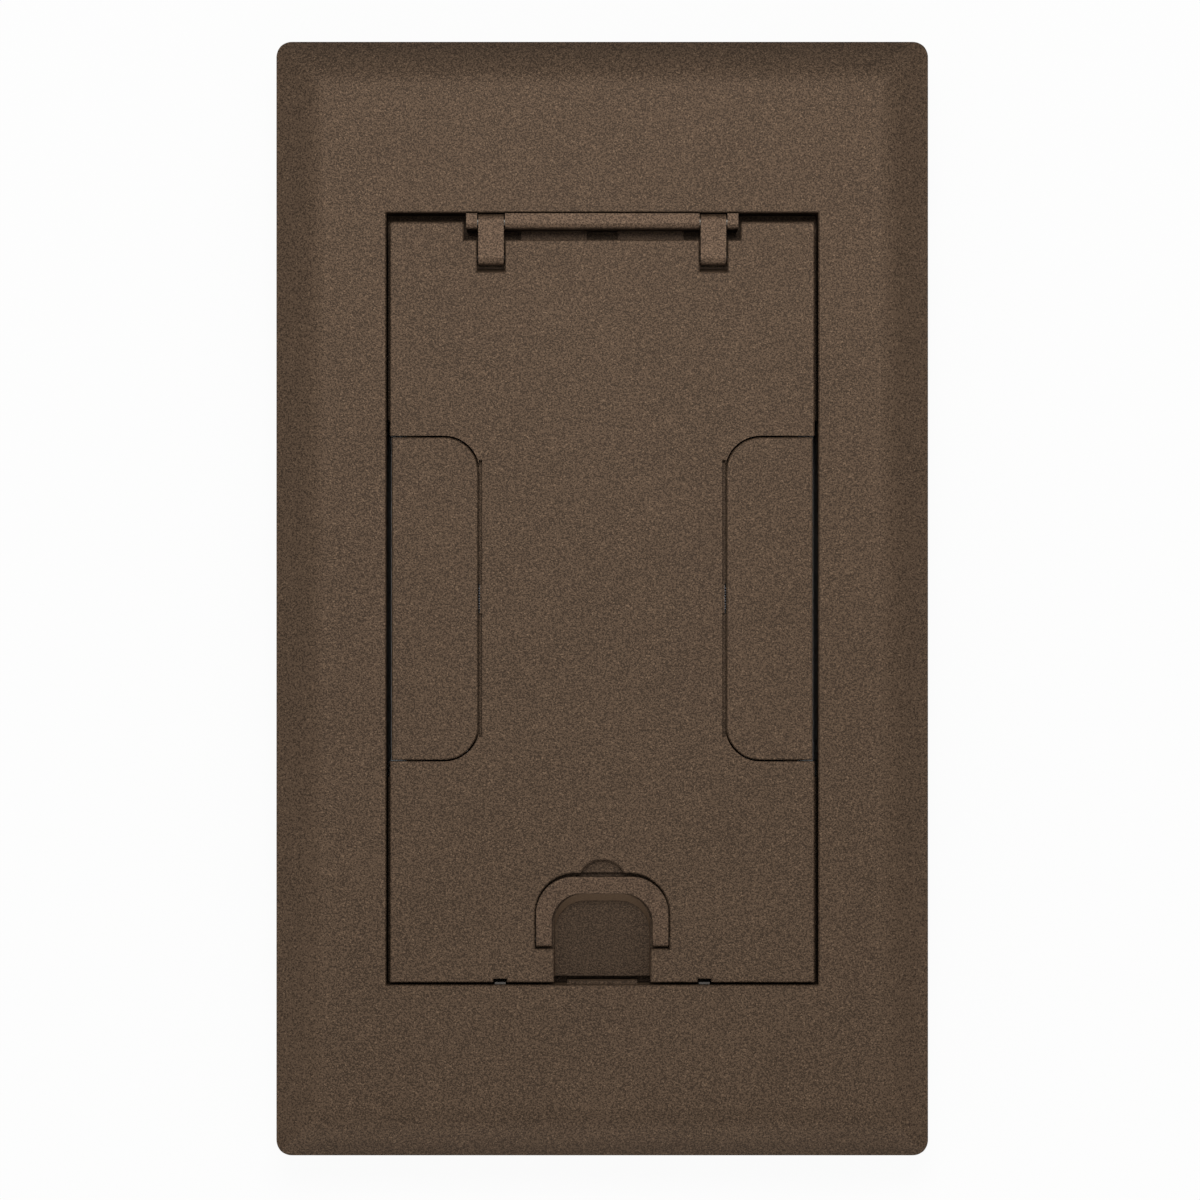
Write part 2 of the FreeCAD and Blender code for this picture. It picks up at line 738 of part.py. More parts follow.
def cut_door_opening(body, side, name):
    """The opening in the skin follows the door at the width of its seam, and a groove beside the
    hinge shows the top of the barrel, but for a small bridge that covers the spring. Below the
    skin the space is square, so that the door can swing down, and a round lug at each end carries
    the pin."""
    far = lid_x + CLEAR
    corner = size("door_corner") + size("door_seam")
    edge = door_inner - size("door_seam")
    shape = [(far, -door_end_y), (far, door_end_y), (edge, door_end_y, corner), (edge, -door_end_y, corner)]
    cut_up(body, f"door_opening_{name}", door_axis_z, top + CLEAR,
           poly_shape(*[(x * side, *rest) for x, *rest in shape]))
    groove_end = door_end_y - size("door_groove_margin")
    cover_end = size("spring_half_length") + size("spring_end_gap")
    low, high = span(groove_x, edge + size("door_seam") * 0.5, side)
    cut_up(body, f"hinge_groove_{name}", door_axis_z, top + CLEAR,
           box_shape(low, high, cover_end, groove_end), box_shape(low, high, -groove_end, -cover_end))
    cut_up(body, f"spring_cover_{name}", top - size("spring_cover_drop"), top + CLEAR,
           box_shape(low, high, -(cover_end + CLEAR), cover_end + CLEAR))
    low, high = span(hinge_wall_x, far, side)
    cut_up(body, f"door_swing_{name}", lid_bottom - CLEAR, door_axis_z, box_shape(low, high, -door_end_y, door_end_y))
    lug_start = size("door_barrel_half") + size("door_barrel_gap")
    centre = door_axis_x * side
    along_y(body, "Pocket", f"barrel_room_{name}", -lug_start, lug_start,
            round_shape(centre, door_axis_z, barrel_clear))
    for end, word in ((-1.0, "front"), (1.0, "rear")):
        low, high = span(lug_start, door_end_y, end)
        along_y(body, "Pad", f"door_lug_{name}_{word}", low, high,
                round_shape(centre, door_axis_z, size("door_lug_radius")))
    reach = door_end_y + size("door_pin_seat")
    along_y(body, "Pocket", f"door_pin_bore_{name}", -reach, reach,
            round_shape(centre, door_axis_z, size("door_pin_radius")))
    stop_far = door_outer - size("door_coffer_margin")
    low, high = span(stop_far - size("stop_length") - size("stop_swing"), far, side)
    depth = door_end_y + size("stop_reach") + size("stop_gap")
    cut_up(body, f"stop_rebate_{name}", lid_bottom - CLEAR, door_bottom + size("stop_thick") + size("stop_gap"),
           box_shape(low, high, -depth, depth))


def cut_handle_recess(body):
    recess_end = bail_end_y - size("bail_end_gap")
    corner = size("bail_outer_round") + size("bail_top_gap")
    cut_up(body, "handle_recess", recess_floor, top + CLEAR,
           poly_shape((-recess_x, recess_end), (recess_x, recess_end), (recess_x, recess_top_y, corner),
                      (-recess_x, recess_top_y, corner)))
    nail_y = recess_top_y + size("nail_rise") - size("nail_radius")
    cut_up(body, "nail_notch", top - size("nail_depth"), top + CLEAR, round_shape(ZERO, nail_y, size("nail_radius")))
    half = size("scoop_half_width")
    back = lid_front + size("scoop_reach")
    side_slope, back_slope = size("scoop_side_slope"), size("scoop_back_slope")

    def scoop_outline(half_width, back_y, corner):
        return poly_shape((-half_width, lid_front - CLEAR), (half_width, lid_front - CLEAR),
                          (half_width, back_y, corner), (-half_width, back_y, corner))

    upper = scoop_outline(half, back, size("scoop_back_round"))
    lower = scoop_outline(half - side_slope, back - back_slope, size("scoop_back_round") + side_slope)
    cut_up(body, "finger_scoop", recess_floor, top + CLEAR, upper)
    ring = new_sketch(body, "scoop_floor_sketch", "XY_Plane", scoop_floor)
    lower(ring)
    mouth = new_sketch(body, "scoop_mouth_sketch", "XY_Plane", recess_floor)
    upper(mouth)
    slope = body.newObject("PartDesign::SubtractiveLoft", "scoop_slope")
    slope.Profile = mouth
    slope.Sections = [ring]
    slope.Ruled = True
    body.Tip = slope
    doc.recompute()
    width = size("catch_notch_width") * 0.5
    notches = []
    for side in (-1.0, 1.0):
        low, high = span(size("catch_offset") - width, size("catch_offset") + width, side)
        notches.append(box_shape(low, high, lid_front - CLEAR, lid_front + size("catch_notch_depth")))
    cut_up(body, "catch_notches", lid_bottom - CLEAR, top + CLEAR, *notches)
    for side, name in ((-1.0, "left"), (1.0, "right")):
        low, high = span(half - CLEAR, recess_x + size("bail_pin_seat"), side)
        along_x(body, "Pocket", f"handle_pin_bore_{name}", low, high,
                round_shape(bail_axis_y, bail_axis_z, size("bail_pin_radius")))


# Cord doors

def make_cord_door(side, name):
    body = new_body(f"cord_door_{name}")
    inner, outer = door_inner, door_outer
    half = size("door_half_length")
    corner = size("door_corner")
    shape = [(outer, -half), (outer, half), (inner, half, corner), (inner, -half, corner)]
    pad_up(body, "panel", door_bottom, top, poly_shape(*[(x * side, *rest) for x, *rest in shape]))
    centre = door_axis_x * side
    barrel_half = size("door_barrel_half")
    along_y(body, "Pad", "barrel", -barrel_half, barrel_half,
            round_shape(centre, door_axis_z, size("door_barrel_radius")))
    margin = size("door_coffer_margin")
    low, high = span(inner + margin, outer - margin, side)
    coffer_half = half - margin - size("door_barrel_gap")
    cut_up(body, "coffer", door_bottom - CLEAR, door_bottom + size("door_coffer_depth"),
           box_shape(low, high, -coffer_half, coffer_half))
    low, high = span(outer - margin - size("stop_length"), outer - margin, side)
    tip = half + size("stop_reach")
    stop_top = door_bottom + size("stop_thick")
    pad_up(body, "stops", door_bottom, stop_top, box_shape(low, high, half - margin, tip),
           box_shape(low, high, -tip, -(half - margin)))
    room = size("spring_half_length") + size("spring_end_gap")
    along_y(body, "Pocket", "spring_room", -room, room, round_shape(centre, door_axis_z, barrel_clear))
    along_y(body, "Pocket", "pin_bore", -(barrel_half + CLEAR), barrel_half + CLEAR,
            round_shape(centre, door_axis_z, size("door_pin_radius") + size("running_gap")))
    ease(body, size("edge_break"))
    return body


def make_door_spring(side, name):
    """A close-wound torsion spring on the door's pin, with one leg under the door and one
    along the lid's rib. Its turns touch, so the coil is a sleeve of the wire's thickness."""
    wire = sheet.spring_wire
    bore = sheet.door_pin_radius + sheet.spring_pin_gap
    length = 2 * sheet.spring_half_length
    leg = sheet.spring_leg
    middle = FreeCAD.Vector(door_axis_x.value * side, -length / 2, door_axis_z.value)
    axis = FreeCAD.Vector(0, 1, 0)
    coil = Part.makeCylinder(bore + wire, length, middle, axis)
    coil = coil.cut(Part.makeCylinder(bore, length, middle, axis))
    clear_of_bore = bore + sheet.spring_leg_seat
    left_end = min(0, leg * side)
    door_leg = Part.makeBox(leg, wire, wire, middle + FreeCAD.Vector(left_end, 0, -clear_of_bore - wire))
    inner_side = -clear_of_bore - wire if side > 0 else clear_of_bore
    lid_leg = Part.makeBox(wire, wire, leg, middle + FreeCAD.Vector(inner_side, length - wire, -leg))
    made = doc.addObject("Part::Feature", f"door_spring_{name}")
    made.Label = f"door_spring_{name}"
    made.Shape = coil.fuse([door_leg, lid_leg]).removeSplitter()
    return made


# Handle

def make_bail_handle():
    body = new_body("bail_handle")
    outer = size("bail_half_width")
    inner = outer - size("bail_leg")
    bar = bail_top_y - size("bail_bar")
    low = bail_axis_y - bail_radius
    pad_up(body, "bow", top - size("bail_thick"), top,
           poly_shape((-outer, low), (-inner, low), (-inner, bar, size("bail_inner_round")),
                      (inner, bar, size("bail_inner_round")), (inner, low), (outer, low),
                      (outer, bail_top_y, size("bail_outer_round")),
                      (-outer, bail_top_y, size("bail_outer_round"))))

    def leg_tip(edge):
        box = edge.BoundBox
        return near(box.YMin, low.value) and near(box.YMax, low.value) and near(box.ZMin, box.ZMax)

    dress(body, "Fillet", "leg_tips", edges_where(body, leg_tip), size("bail_tip_round"))
    bore = size("bail_pin_radius") + size("running_gap")
    along_x(body, "Pocket", "pin_bores", -(outer + CLEAR), outer + CLEAR,
            round_shape(bail_axis_y, bail_axis_z, bore))
    return body


# Catches, screws and pads

def make_catch_spring(side, name):
    body = new_body(f"catch_spring_{name}")
    sheet_thick = size("catch_sheet")
    back = -(opening_y - size("catch_wall_gap"))
    front = back + sheet_thick
    tip = ledge_top + size("catch_rise")
    bump = size("catch_bump")
    toe = back + size("catch_foot")
    half = size("catch_width") * 0.5
    low, high = span(size("catch_offset") - half, size("catch_offset") + half, side)
    along_x(body, "Pad", "strip", low, high,
            poly_shape((back, ledge_top), (toe, ledge_top), (toe, ledge_top + sheet_thick),
                       (front, ledge_top + sheet_thick), (front, tip - bump * 3.0),
                       (front + bump, tip - bump * 1.5), (front, tip), (back, tip),
                       (back + bump, tip - bump * 1.5), (back, tip - bump * 3.0)))
    cut_up(body, "screw_hole", ledge_top - CLEAR, ledge_top + sheet_thick + CLEAR,
           round_shape(catch_screw_x * side, catch_screw_y, size("small_screw_radius")))
    return body


def make_screw(label, x, y, seat, shank, head, height, length, upside_down):
    """A flat-headed screw, revolved about its axis with the underside of its head at the origin."""
    body = new_body(label)
    profile = new_sketch(body, "profile", "XZ_Plane", ZERO)
    outline(profile, [(ZERO, -length), (shank, -length), (shank, ZERO), (head, ZERO), (head, height),
                      (ZERO, height)])
    turned = body.newObject("PartDesign::Revolution", "turned")
    turned.Profile = profile
    turned.ReferenceAxis = (profile, ["V_Axis"])
    turned.Angle = 360
    doc.recompute()
    turn = FreeCAD.Rotation(FreeCAD.Vector(1, 0, 0), 180 if upside_down else 0)
    body.Placement = FreeCAD.Placement(FreeCAD.Vector(0, 0, 0), turn)
    for axis, place in (("x", x), ("y", y), ("z", seat)):
        body.setExpression(f"Placement.Base.{axis}", place.text)
    return body


def make_rest_pad(x_side, y_side, name):
    """A rubber block glued to the ledge, on which the lid's side rib rests."""
    body = new_body(f"rest_pad_{name}")
    x, y = pad_x * x_side, pad_y * y_side
    half = size("pad_half_width")
    pad_up(body, "block", ledge_top, lid_bottom, box_shape(x - half, x + half, y - half, y + half))
    return body


pieces = [make_cover_frame(), make_floor_gasket(), make_hinge_bracket(), make_lid(), make_bail_handle()]
for side, name in ((-1.0, "left"), (1.0, "right")):
    pieces.append(make_hinge_link(side, name))
    pieces.append(make_cord_door(side, name))
    pieces.append(make_door_spring(side, name))
    pieces.append(make_catch_spring(side, name))
    low, high = span(*frame_pin_span, side)
    pieces.append(pin_object(f"bracket_pin_{name}", TO_X, low, frame_pin_y, hinge_pin_z,
                             size("hinge_pin_radius"), high - low))
    low, high = span(*lid_pin_span, side)
    pieces.append(pin_object(f"lid_pin_{name}", TO_X, low, lid_pin_y, hinge_pin_z,
                             size("hinge_pin_radius"), high - low))
    reach = door_end_y + size("door_pin_seat")
    pieces.append(pin_object(f"door_pin_{name}", TO_Y, door_axis_x * side, -reach, door_axis_z,
                             size("door_pin_radius"), reach * 2.0))
    low, high = span(size("bail_half_width") - size("bail_leg"), recess_x + size("bail_pin_seat"), side)
    pieces.append(pin_object(f"bail_pin_{name}", TO_X, low, bail_axis_y, bail_axis_z,
                             size("bail_pin_radius"), high - low))
    pieces.append(make_screw(f"catch_screw_{name}", catch_screw_x * side, catch_screw_y,
                             ledge_top + size("catch_sheet"), size("small_screw_radius"),
                             size("small_head_radius"), size("small_head_height"),
                             size("small_screw_length"), False))
    pieces.append(make_screw(f"bracket_screw_{name}", bracket_screw_x * side, bracket_screw_y,
                             ledge_bottom, size("bracket_screw_radius"), size("bracket_head_radius"),
                             size("bracket_head_height"), size("bracket_screw_length"), True))
    for y_side, end in ((-1.0, "front"), (1.0, "rear")):
        pieces.append(make_rest_pad(side, y_side, f"{end}_{name}"))

doc.recompute()
for item in doc.Objects:
    if "Invalid" in item.State or "Error" in item.State:
        raise RuntimeError(f"{item.Label}: {item.State}")
for piece in pieces:
    if piece.Shape.isNull() or not piece.Shape.isValid() or len(piece.Shape.Solids) != 1:
        raise RuntimeError(f"{piece.Label}: {len(piece.Shape.Solids)} solids, valid {piece.Shape.isValid()}")

os.makedirs("parts", exist_ok=True)
for piece in pieces:
    piece.Shape.exportStep(f"parts/{piece.Label}.step")
    print(f"{piece.Label}: {piece.Shape.Volume:.1f} cubic mm")
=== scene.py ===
# %% [markdown]
# # A floor box cover, dressed
#
# This lesson takes a finished CAD model of a floor box cover and gives it its looks: a bronze
# powder coat with its sandy grain, bare steel pins, sprung wire, rubber and foam.
#
# The CAD model comes in first and stays where it is. What we add or replace sits in the same
# frame, in metres, with the cover lying flat, +Z up and +Y towards the hinge.

# %% Load the CAD model
import math

import bpy
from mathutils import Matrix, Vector


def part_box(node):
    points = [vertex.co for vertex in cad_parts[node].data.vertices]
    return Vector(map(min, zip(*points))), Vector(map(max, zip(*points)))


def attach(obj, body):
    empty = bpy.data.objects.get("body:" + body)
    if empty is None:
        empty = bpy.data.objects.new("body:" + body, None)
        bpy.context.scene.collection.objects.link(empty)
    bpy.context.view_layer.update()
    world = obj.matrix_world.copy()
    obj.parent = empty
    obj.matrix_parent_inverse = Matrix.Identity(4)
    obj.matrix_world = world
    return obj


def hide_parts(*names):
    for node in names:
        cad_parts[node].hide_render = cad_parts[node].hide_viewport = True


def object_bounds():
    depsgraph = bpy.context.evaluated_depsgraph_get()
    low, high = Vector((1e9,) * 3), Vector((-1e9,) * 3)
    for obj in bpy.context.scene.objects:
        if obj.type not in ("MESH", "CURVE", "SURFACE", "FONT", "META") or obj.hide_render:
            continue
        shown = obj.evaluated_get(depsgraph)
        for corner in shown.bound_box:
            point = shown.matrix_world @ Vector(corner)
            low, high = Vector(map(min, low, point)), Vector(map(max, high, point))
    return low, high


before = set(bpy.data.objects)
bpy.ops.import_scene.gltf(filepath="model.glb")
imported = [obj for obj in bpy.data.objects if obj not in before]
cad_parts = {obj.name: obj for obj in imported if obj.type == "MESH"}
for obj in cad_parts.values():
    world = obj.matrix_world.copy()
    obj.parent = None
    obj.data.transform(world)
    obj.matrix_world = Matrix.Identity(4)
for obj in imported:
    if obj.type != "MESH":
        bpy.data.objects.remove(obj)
cad_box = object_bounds()
MM = 0.001
TOP = cad_box[1].z
SIDES = ("left", "right")

print(len(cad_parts), "nodes, top face at", round(TOP / MM, 2), "mm")

# %% [markdown]
# ## Helpers for modelling
#
# Blender's operators act on whatever is selected, and the CAD pieces come in selected. So each
# step starts by selecting one object alone. In edit mode the faces or edges to work on are then
# picked by where they lie, as a person would pick them by eye.


# %% Select one piece, and pick its parts
def only(piece):
    """Selects one object and makes it the active one."""
    bpy.ops.object.select_all(action="DESELECT")
    piece.select_set(True)
    bpy.context.view_layer.objects.active = piece


def pick(piece, kind, test):
    """In edit mode, selects the vertices, edges or faces whose middle passes the test."""
    bpy.ops.mesh.select_mode(type=kind)
    bpy.ops.mesh.select_all(action="DESELECT")
    bpy.ops.object.mode_set(mode="OBJECT")
    mesh = piece.data
    parts = {"VERT": mesh.vertices, "EDGE": mesh.edges, "FACE": mesh.polygons}[kind]
    for part in parts:
        corners = [part.index] if kind == "VERT" else part.vertices
        middle = sum((mesh.vertices[index].co for index in corners), Vector()) / len(corners)
        part.select = test(middle, part)
    bpy.ops.object.mode_set(mode="EDIT")


# %% [markdown]
# Many of the new pieces take a CAD piece's place, so its box tells where they go. A piece that is
# there several times is modelled once and copied, and each copy gets a mesh of its own.


# %% Measure a CAD piece, and copy an object
def box_corners(node):
    """The lowest and the highest corner of a CAD node's box."""
    low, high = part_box(node)
    return Vector(low), Vector(high)


def duplicate(source, name):
    """A copy of an object with its own mesh. It stands at the origin."""
    copy = bpy.data.objects.new(name, source.data.copy())
    bpy.context.collection.objects.link(copy)
    return copy


# %% [markdown]
# Every piece is finished in the same way. Points that lie on each other are welded, the faces
# are turned outwards and soft edges are shaded smooth. Its place goes into its mesh, so that the
# object itself stands at the origin as the CAD pieces do, and it then rides on a moving body.

# %% Finish a piece
WELD = 0.002 * MM
SMOOTH_BELOW = math.radians(40)


def modify(piece, kind, **settings):
    """Adds a modifier, sets it and applies it."""
    only(piece)
    modifier = piece.modifiers.new(kind.lower(), kind)
    for name, value in settings.items():
        setattr(modifier, name, value)
    bpy.ops.object.modifier_apply(modifier=modifier.name)


def settle(piece, name, body):
    """Names a finished piece, puts its place into its mesh and lets it ride on its body."""
    only(piece)
    bpy.ops.object.transform_apply(location=True, rotation=True, scale=True)
    bpy.ops.object.mode_set(mode="EDIT")
    bpy.ops.mesh.select_all(action="SELECT")
    bpy.ops.mesh.remove_doubles(threshold=WELD)
    bpy.ops.mesh.normals_make_consistent(inside=False)
    bpy.ops.object.mode_set(mode="OBJECT")
    bpy.ops.object.shade_smooth_by_angle(angle=SMOOTH_BELOW)
    modify(piece, "WEIGHTED_NORMAL", keep_sharp=True)
    piece.name = piece.data.name = name
    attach(piece, body)
    piece.data.calc_loop_triangles()
    print(name, "has", len(piece.data.loop_triangles), "triangles")


# %% [markdown]
# ## Helpers for materials
#
# Blender's materials are trees of nodes. Written out link by link they are hard to read, so a
# small class wraps one output of a node. Adding, multiplying or comparing two of them adds the
# Math node that does it, and the recipe for a finish then reads like a formula.


# %% Shader maths as Python
class Tone:
    """One output socket of a node tree. Sums and products of tones add Math nodes."""

    def __init__(self, recipe, socket):
        self.recipe = recipe
        self.socket = socket

    def beside(self, output):
        """Another output of the same node."""
        return Tone(self.recipe, self.socket.node.outputs[output])

    def maths(self, operation, *values):
        inputs = dict(enumerate(values))
        return self.recipe.node("ShaderNodeMath", {"operation": operation}, inputs)

    def __add__(self, other):
        return self.maths("ADD", self, other)

    def __sub__(self, other):
        return self.maths("SUBTRACT", self, other)

    def __rsub__(self, other):
        return self.maths("SUBTRACT", other, self)

    def __mul__(self, other):
        return self.maths("MULTIPLY", self, other)

    def __gt__(self, other):
        return self.maths("GREATER_THAN", self, other)

    def __lt__(self, other):
        return self.maths("LESS_THAN", self, other)

    def __abs__(self):
        return self.maths("ABSOLUTE", self)

    def __or__(self, other):
        return self.maths("MAXIMUM", self, other)

    __radd__ = __add__
    __rmul__ = __mul__


# %% [markdown]
# Every other node comes from one method. It takes the node's type, its settings and what goes
# into its sockets: a tone is linked, and a plain value is set.


# %% Any node of a tree
class Recipe:
    """A node tree that is built up node by node."""

    def __init__(self, tree):
        self.tree = tree

    def node(self, kind, settings=None, inputs=None, output=0):
        """Any node: its settings first, then the values or links of its sockets."""
        made = self.tree.nodes.new(kind)
        for name, value in (settings or {}).items():
            setattr(made, name, value)
        for name, value in (inputs or {}).items():
            self.feed(made.inputs[name], value)
        return Tone(self, made.outputs[output])

    def feed(self, socket, value):
        """Links a tone to a socket, or sets its plain value."""
        if isinstance(value, Tone):
            self.tree.links.new(value.socket, socket)
        elif hasattr(socket.default_value, "__len__") and len(socket.default_value) == 4:
            socket.default_value = (*value[:3], 1.0)
        else:
            socket.default_value = value


# %% [markdown]
# A finish is such a tree with a Principled shader in it, and it knows the few patterns that our
# finishes share. All of them lie on Object coordinates, so they are measured in real lengths and
# go on from one piece to the next.

# %% A finish and its patterns
COLOUR_A, COLOUR_B, COLOUR_OUT = 6, 7, 2


class Finish(Recipe):
    """A material for one finish of the cover. Sizes are in millimetres."""

    def __init__(self, name):
        self.material = bpy.data.materials.new(name)
        self.material.use_nodes = True
        super().__init__(self.material.node_tree)
        self.shader = self.tree.nodes["Principled BSDF"]
        self.place = self.node("ShaderNodeTexCoord", output="Object")

    def noise(self, size, detail=2.0, stretch=(1.0, 1.0, 1.0)):
        """Soft random spots about as large as size, from 0 to 1."""
        place = self.node("ShaderNodeMapping", {}, {"Vector": self.place, "Scale": stretch})
        return self.node("ShaderNodeTexNoise", {},
                         {"Vector": place, "Scale": 1.0 / (size * MM), "Detail": detail})

    def cells(self, size, output):
        """Cells about as large as size: their random Color, or the Distance to their middle."""
        return self.node("ShaderNodeTexVoronoi", {"feature": "F1"},
                         {"Vector": self.place, "Scale": 1.0 / (size * MM)}, output=output)

    def smooth_step(self, value, start, end):
        """Rises softly from 0 to 1 while the value goes from start to end."""
        return self.node("ShaderNodeMapRange", {"interpolation_type": "SMOOTHSTEP"},
                         {"Value": value, "From Min": start, "From Max": end})

    def mix(self, factor, first, second):
        """A colour between two others."""
        inputs = {"Factor": factor, COLOUR_A: first, COLOUR_B: second}
        return self.node("ShaderNodeMix", {"data_type": "RGBA"}, inputs, output=COLOUR_OUT)

    def bump(self, height, depth):
        """A bumpy normal from a height between 0 and 1."""
        return self.node("ShaderNodeBump", {}, {"Height": height, "Distance": depth * MM})

    def paint(self, **sockets):
        """Feeds the shader's sockets. A name's underscores stand for spaces."""
        for name, value in sockets.items():
            self.feed(self.shader.inputs[name.replace("_", " ")], value)

    def cover(self, *pieces):
        """Gives the finish to some pieces."""
        for piece in pieces:
            piece.data.materials.clear()
            piece.data.materials.append(self.material)
        print(self.material.name, "covers", ", ".join(piece.name for piece in pieces))


# %% [markdown]
# Colours are read off a screen as numbers from 0 to 255, but shaders reckon in linear light. So
# one helper converts them, and another makes a colour darker or lighter.


# %% Colours
def shade(red, green, blue):
    """A colour read as 0 to 255 on a screen, in the linear light that shaders use."""
    def linear(value):
        value /= 255
        return value / 12.92 if value <= 0.04045 else ((value + 0.055) / 1.055) ** 2.4

    return tuple(linear(value) for value in (red, green, blue))


def times(factor, colour):
    """A colour that is factor times as bright."""
    return tuple(channel * factor for channel in colour)


print("screen grey 128 is", round(shade(128, 128, 128)[0], 3), "in linear light")

# %% [markdown]
# ## Painted shade and painted light in the coat
#
# Seen from straight above, the well, the gaps and the finger scoop are darker the deeper they
# lie. A few soft lamps don't give that shade in full, so part of it is painted into the coat: a
# painted shade that grows with the depth below the top face. Two places are as light as in the
# open, so they stay out of it and get painted light instead. The flange's slopes at the left and
# right end at the mitres of its corners, and the scoop's sloped back wall lies between the
# handle's pocket and the scoop's floor.

# %% Painted shade, and painted light on the side slopes and the scoop's wall
PAINTED_SHADE_FROM, PAINTED_SHADE_TO = 0.8 * MM, 3.6 * MM
SLOPE_FROM, SLOPE_TO = 54.0 * MM, 60.0 * MM
MITRE, MITRE_BLUR = cad_box[1].x - cad_box[1].y, 6.0 * MM
SCOOP_HALF_WIDTH, HANDLE_LINE = 9.8 * MM, -60.0 * MM
POCKET_DEPTH, SCOOP_DEPTH = 3.45 * MM, 5.4 * MM


def painted_light_masks(coat):
    """Three masks from 0 to 1: painted shade, and the lit side slopes and scoop's wall."""
    across = coat.node("ShaderNodeSeparateXYZ", {}, {"Vector": coat.place}, output="X")
    along, height = across.beside("Y"), across.beside("Z")
    # Painted shade: the deeper a place lies below the top face, the darker the coat.
    depth = coat.smooth_step(height, TOP - PAINTED_SHADE_FROM, TOP - PAINTED_SHADE_TO)
    past_mitre = coat.smooth_step(abs(across) - abs(along),
                                  MITRE - MITRE_BLUR, MITRE + MITRE_BLUR)
    # Painted light on the side slopes and the scoop's wall, which are left out of the painted
    # shade.
    slope_light_mask = coat.smooth_step(abs(across), SLOPE_FROM, SLOPE_TO) * past_mitre
    in_scoop = (abs(across) < SCOOP_HALF_WIDTH) * (along < HANDLE_LINE)
    wall_light_mask = in_scoop * (height < TOP - POCKET_DEPTH) * (height > TOP - SCOOP_DEPTH)
    return depth * (1.0 - (slope_light_mask | wall_light_mask)), slope_light_mask, wall_light_mask


print("the corners' mitres run where |x| - |y| is", round(MITRE / MM, 1), "mm")

# %% [markdown]
# ## Bronze powder coat
#
# The castings are die-cast metal under a bronze powder coat. Seen close, the coat is sandy:
# small soft grains that each tilt the light a little, and here and there a metallic flake that
# glints. A picture of such a coat would need every casting unwrapped, and it would repeat. So two
# sizes of noise make the grain, which drives the colour and the bump alike, and the cells of a
# Voronoi texture whose random value is high are the flakes, whose glint is painted: a light
# colour in their place. A wide, faint noise keeps the large flat faces from looking dead.

# %% Powder coat
SAND, DUST, FLAKE, CLOUD = 0.44, 0.27, 0.24, 16.0
SAND_SHARE, DUST_SHARE = 0.45, 0.55
GRAIN_CONTRAST, CLOUD_CONTRAST = 8.0, 0.3
DARK_GRAIN, LIGHT_GRAIN = 0.55, 1.45
PAINTED_LIGHT_COLOUR = shade(150, 124, 100)
FLAKE_RARITY, GLINT_STRENGTH = 0.95, 0.28
PAINTED_SLOPE_LIGHT, PAINTED_WALL_LIGHT = 0.2, 0.5
PAINTED_SHADE_STRENGTH, DEEP_SHADE = 0.36, 0.25


def powder_coat(name, body_colour, grain_depth):
    """The coat over a body colour. Its grain is grain_depth millimetres deep."""
    coat = Finish(name)
    painted_shade, slope_light_mask, wall_light_mask = painted_light_masks(coat)
    sand = coat.noise(SAND)
    grain = sand * SAND_SHARE + coat.noise(DUST, detail=1.0) * DUST_SHARE
    luck = coat.node("ShaderNodeSeparateColor", {}, {"Color": coat.cells(FLAKE, "Color")})
    # The flakes are real; their glint is painted, as a lighter colour in their cells.
    painted_glint = (luck > FLAKE_RARITY) * GLINT_STRENGTH
    # The grain's random tone, plus painted light on the side slopes.
    lightness = ((grain - 0.5) * GRAIN_CONTRAST + (coat.noise(CLOUD) - 0.5) * CLOUD_CONTRAST
                 + slope_light_mask * PAINTED_SLOPE_LIGHT + 0.5)
    grainy = coat.mix(lightness, times(DARK_GRAIN, body_colour), times(LIGHT_GRAIN, body_colour))
    # Painted light on the scoop's wall, and the flakes' painted glint, towards one light colour.
    flecked = coat.mix(painted_glint | (wall_light_mask * PAINTED_WALL_LIGHT), grainy, PAINTED_LIGHT_COLOUR)
    deep = times(DEEP_SHADE, body_colour)
    # Painted shade in deep places, towards a dark tone of the body colour.
    coat.paint(Base_Color=coat.mix(painted_shade * PAINTED_SHADE_STRENGTH, flecked, deep),
               Roughness=sand * 0.2 + 0.38,
               Metallic=0.4,
               Specular_IOR_Level=0.1,
               Normal=coat.bump(grain, grain_depth))
    return coat


# %% [markdown]
# The handle is rubbed a little lighter than the rest by hands. The hinge bar and its links catch
# the most light in the photograph, so their coat is a lighter copy: painted light.

# %% Coat the castings
bronze = powder_coat("bronze_coat", shade(77, 62, 49), 0.11)
handle_bronze = powder_coat("bronze_coat_handled", shade(81, 65, 52), 0.10)
# A lighter copy of the coat: painted light on the hinge bar and its links.
painted_light_bronze = powder_coat("bronze_coat_painted_light", shade(88, 71, 57), 0.10)
bronze.cover(*(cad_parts[name] for name in (
    "cover_frame", "lid", "cord_door_left", "cord_door_right")))
painted_light_bronze.cover(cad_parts["hinge_bracket"])

# %% [markdown]
# ## Bare steel
#
# The hinge pins, the handle's pivots and the door axles are drawn steel rod. Drawing leaves fine
# lines along the rod. An anisotropic gloss would hint at them, but noise that is stretched along
# the rod shows them, also close up. Pins that lie along X and pins that lie along Y get the lines
# turned to match. The bracket's pins show as bright dots beside the links. The lid's pins and the
# handle's pivots stay dark there, so they are blackened.

# %% Drawn steel
DRAWN_OUT = 0.04
LINE, STAIN = 0.12, 1.6
STAIN_SHADE = 0.62


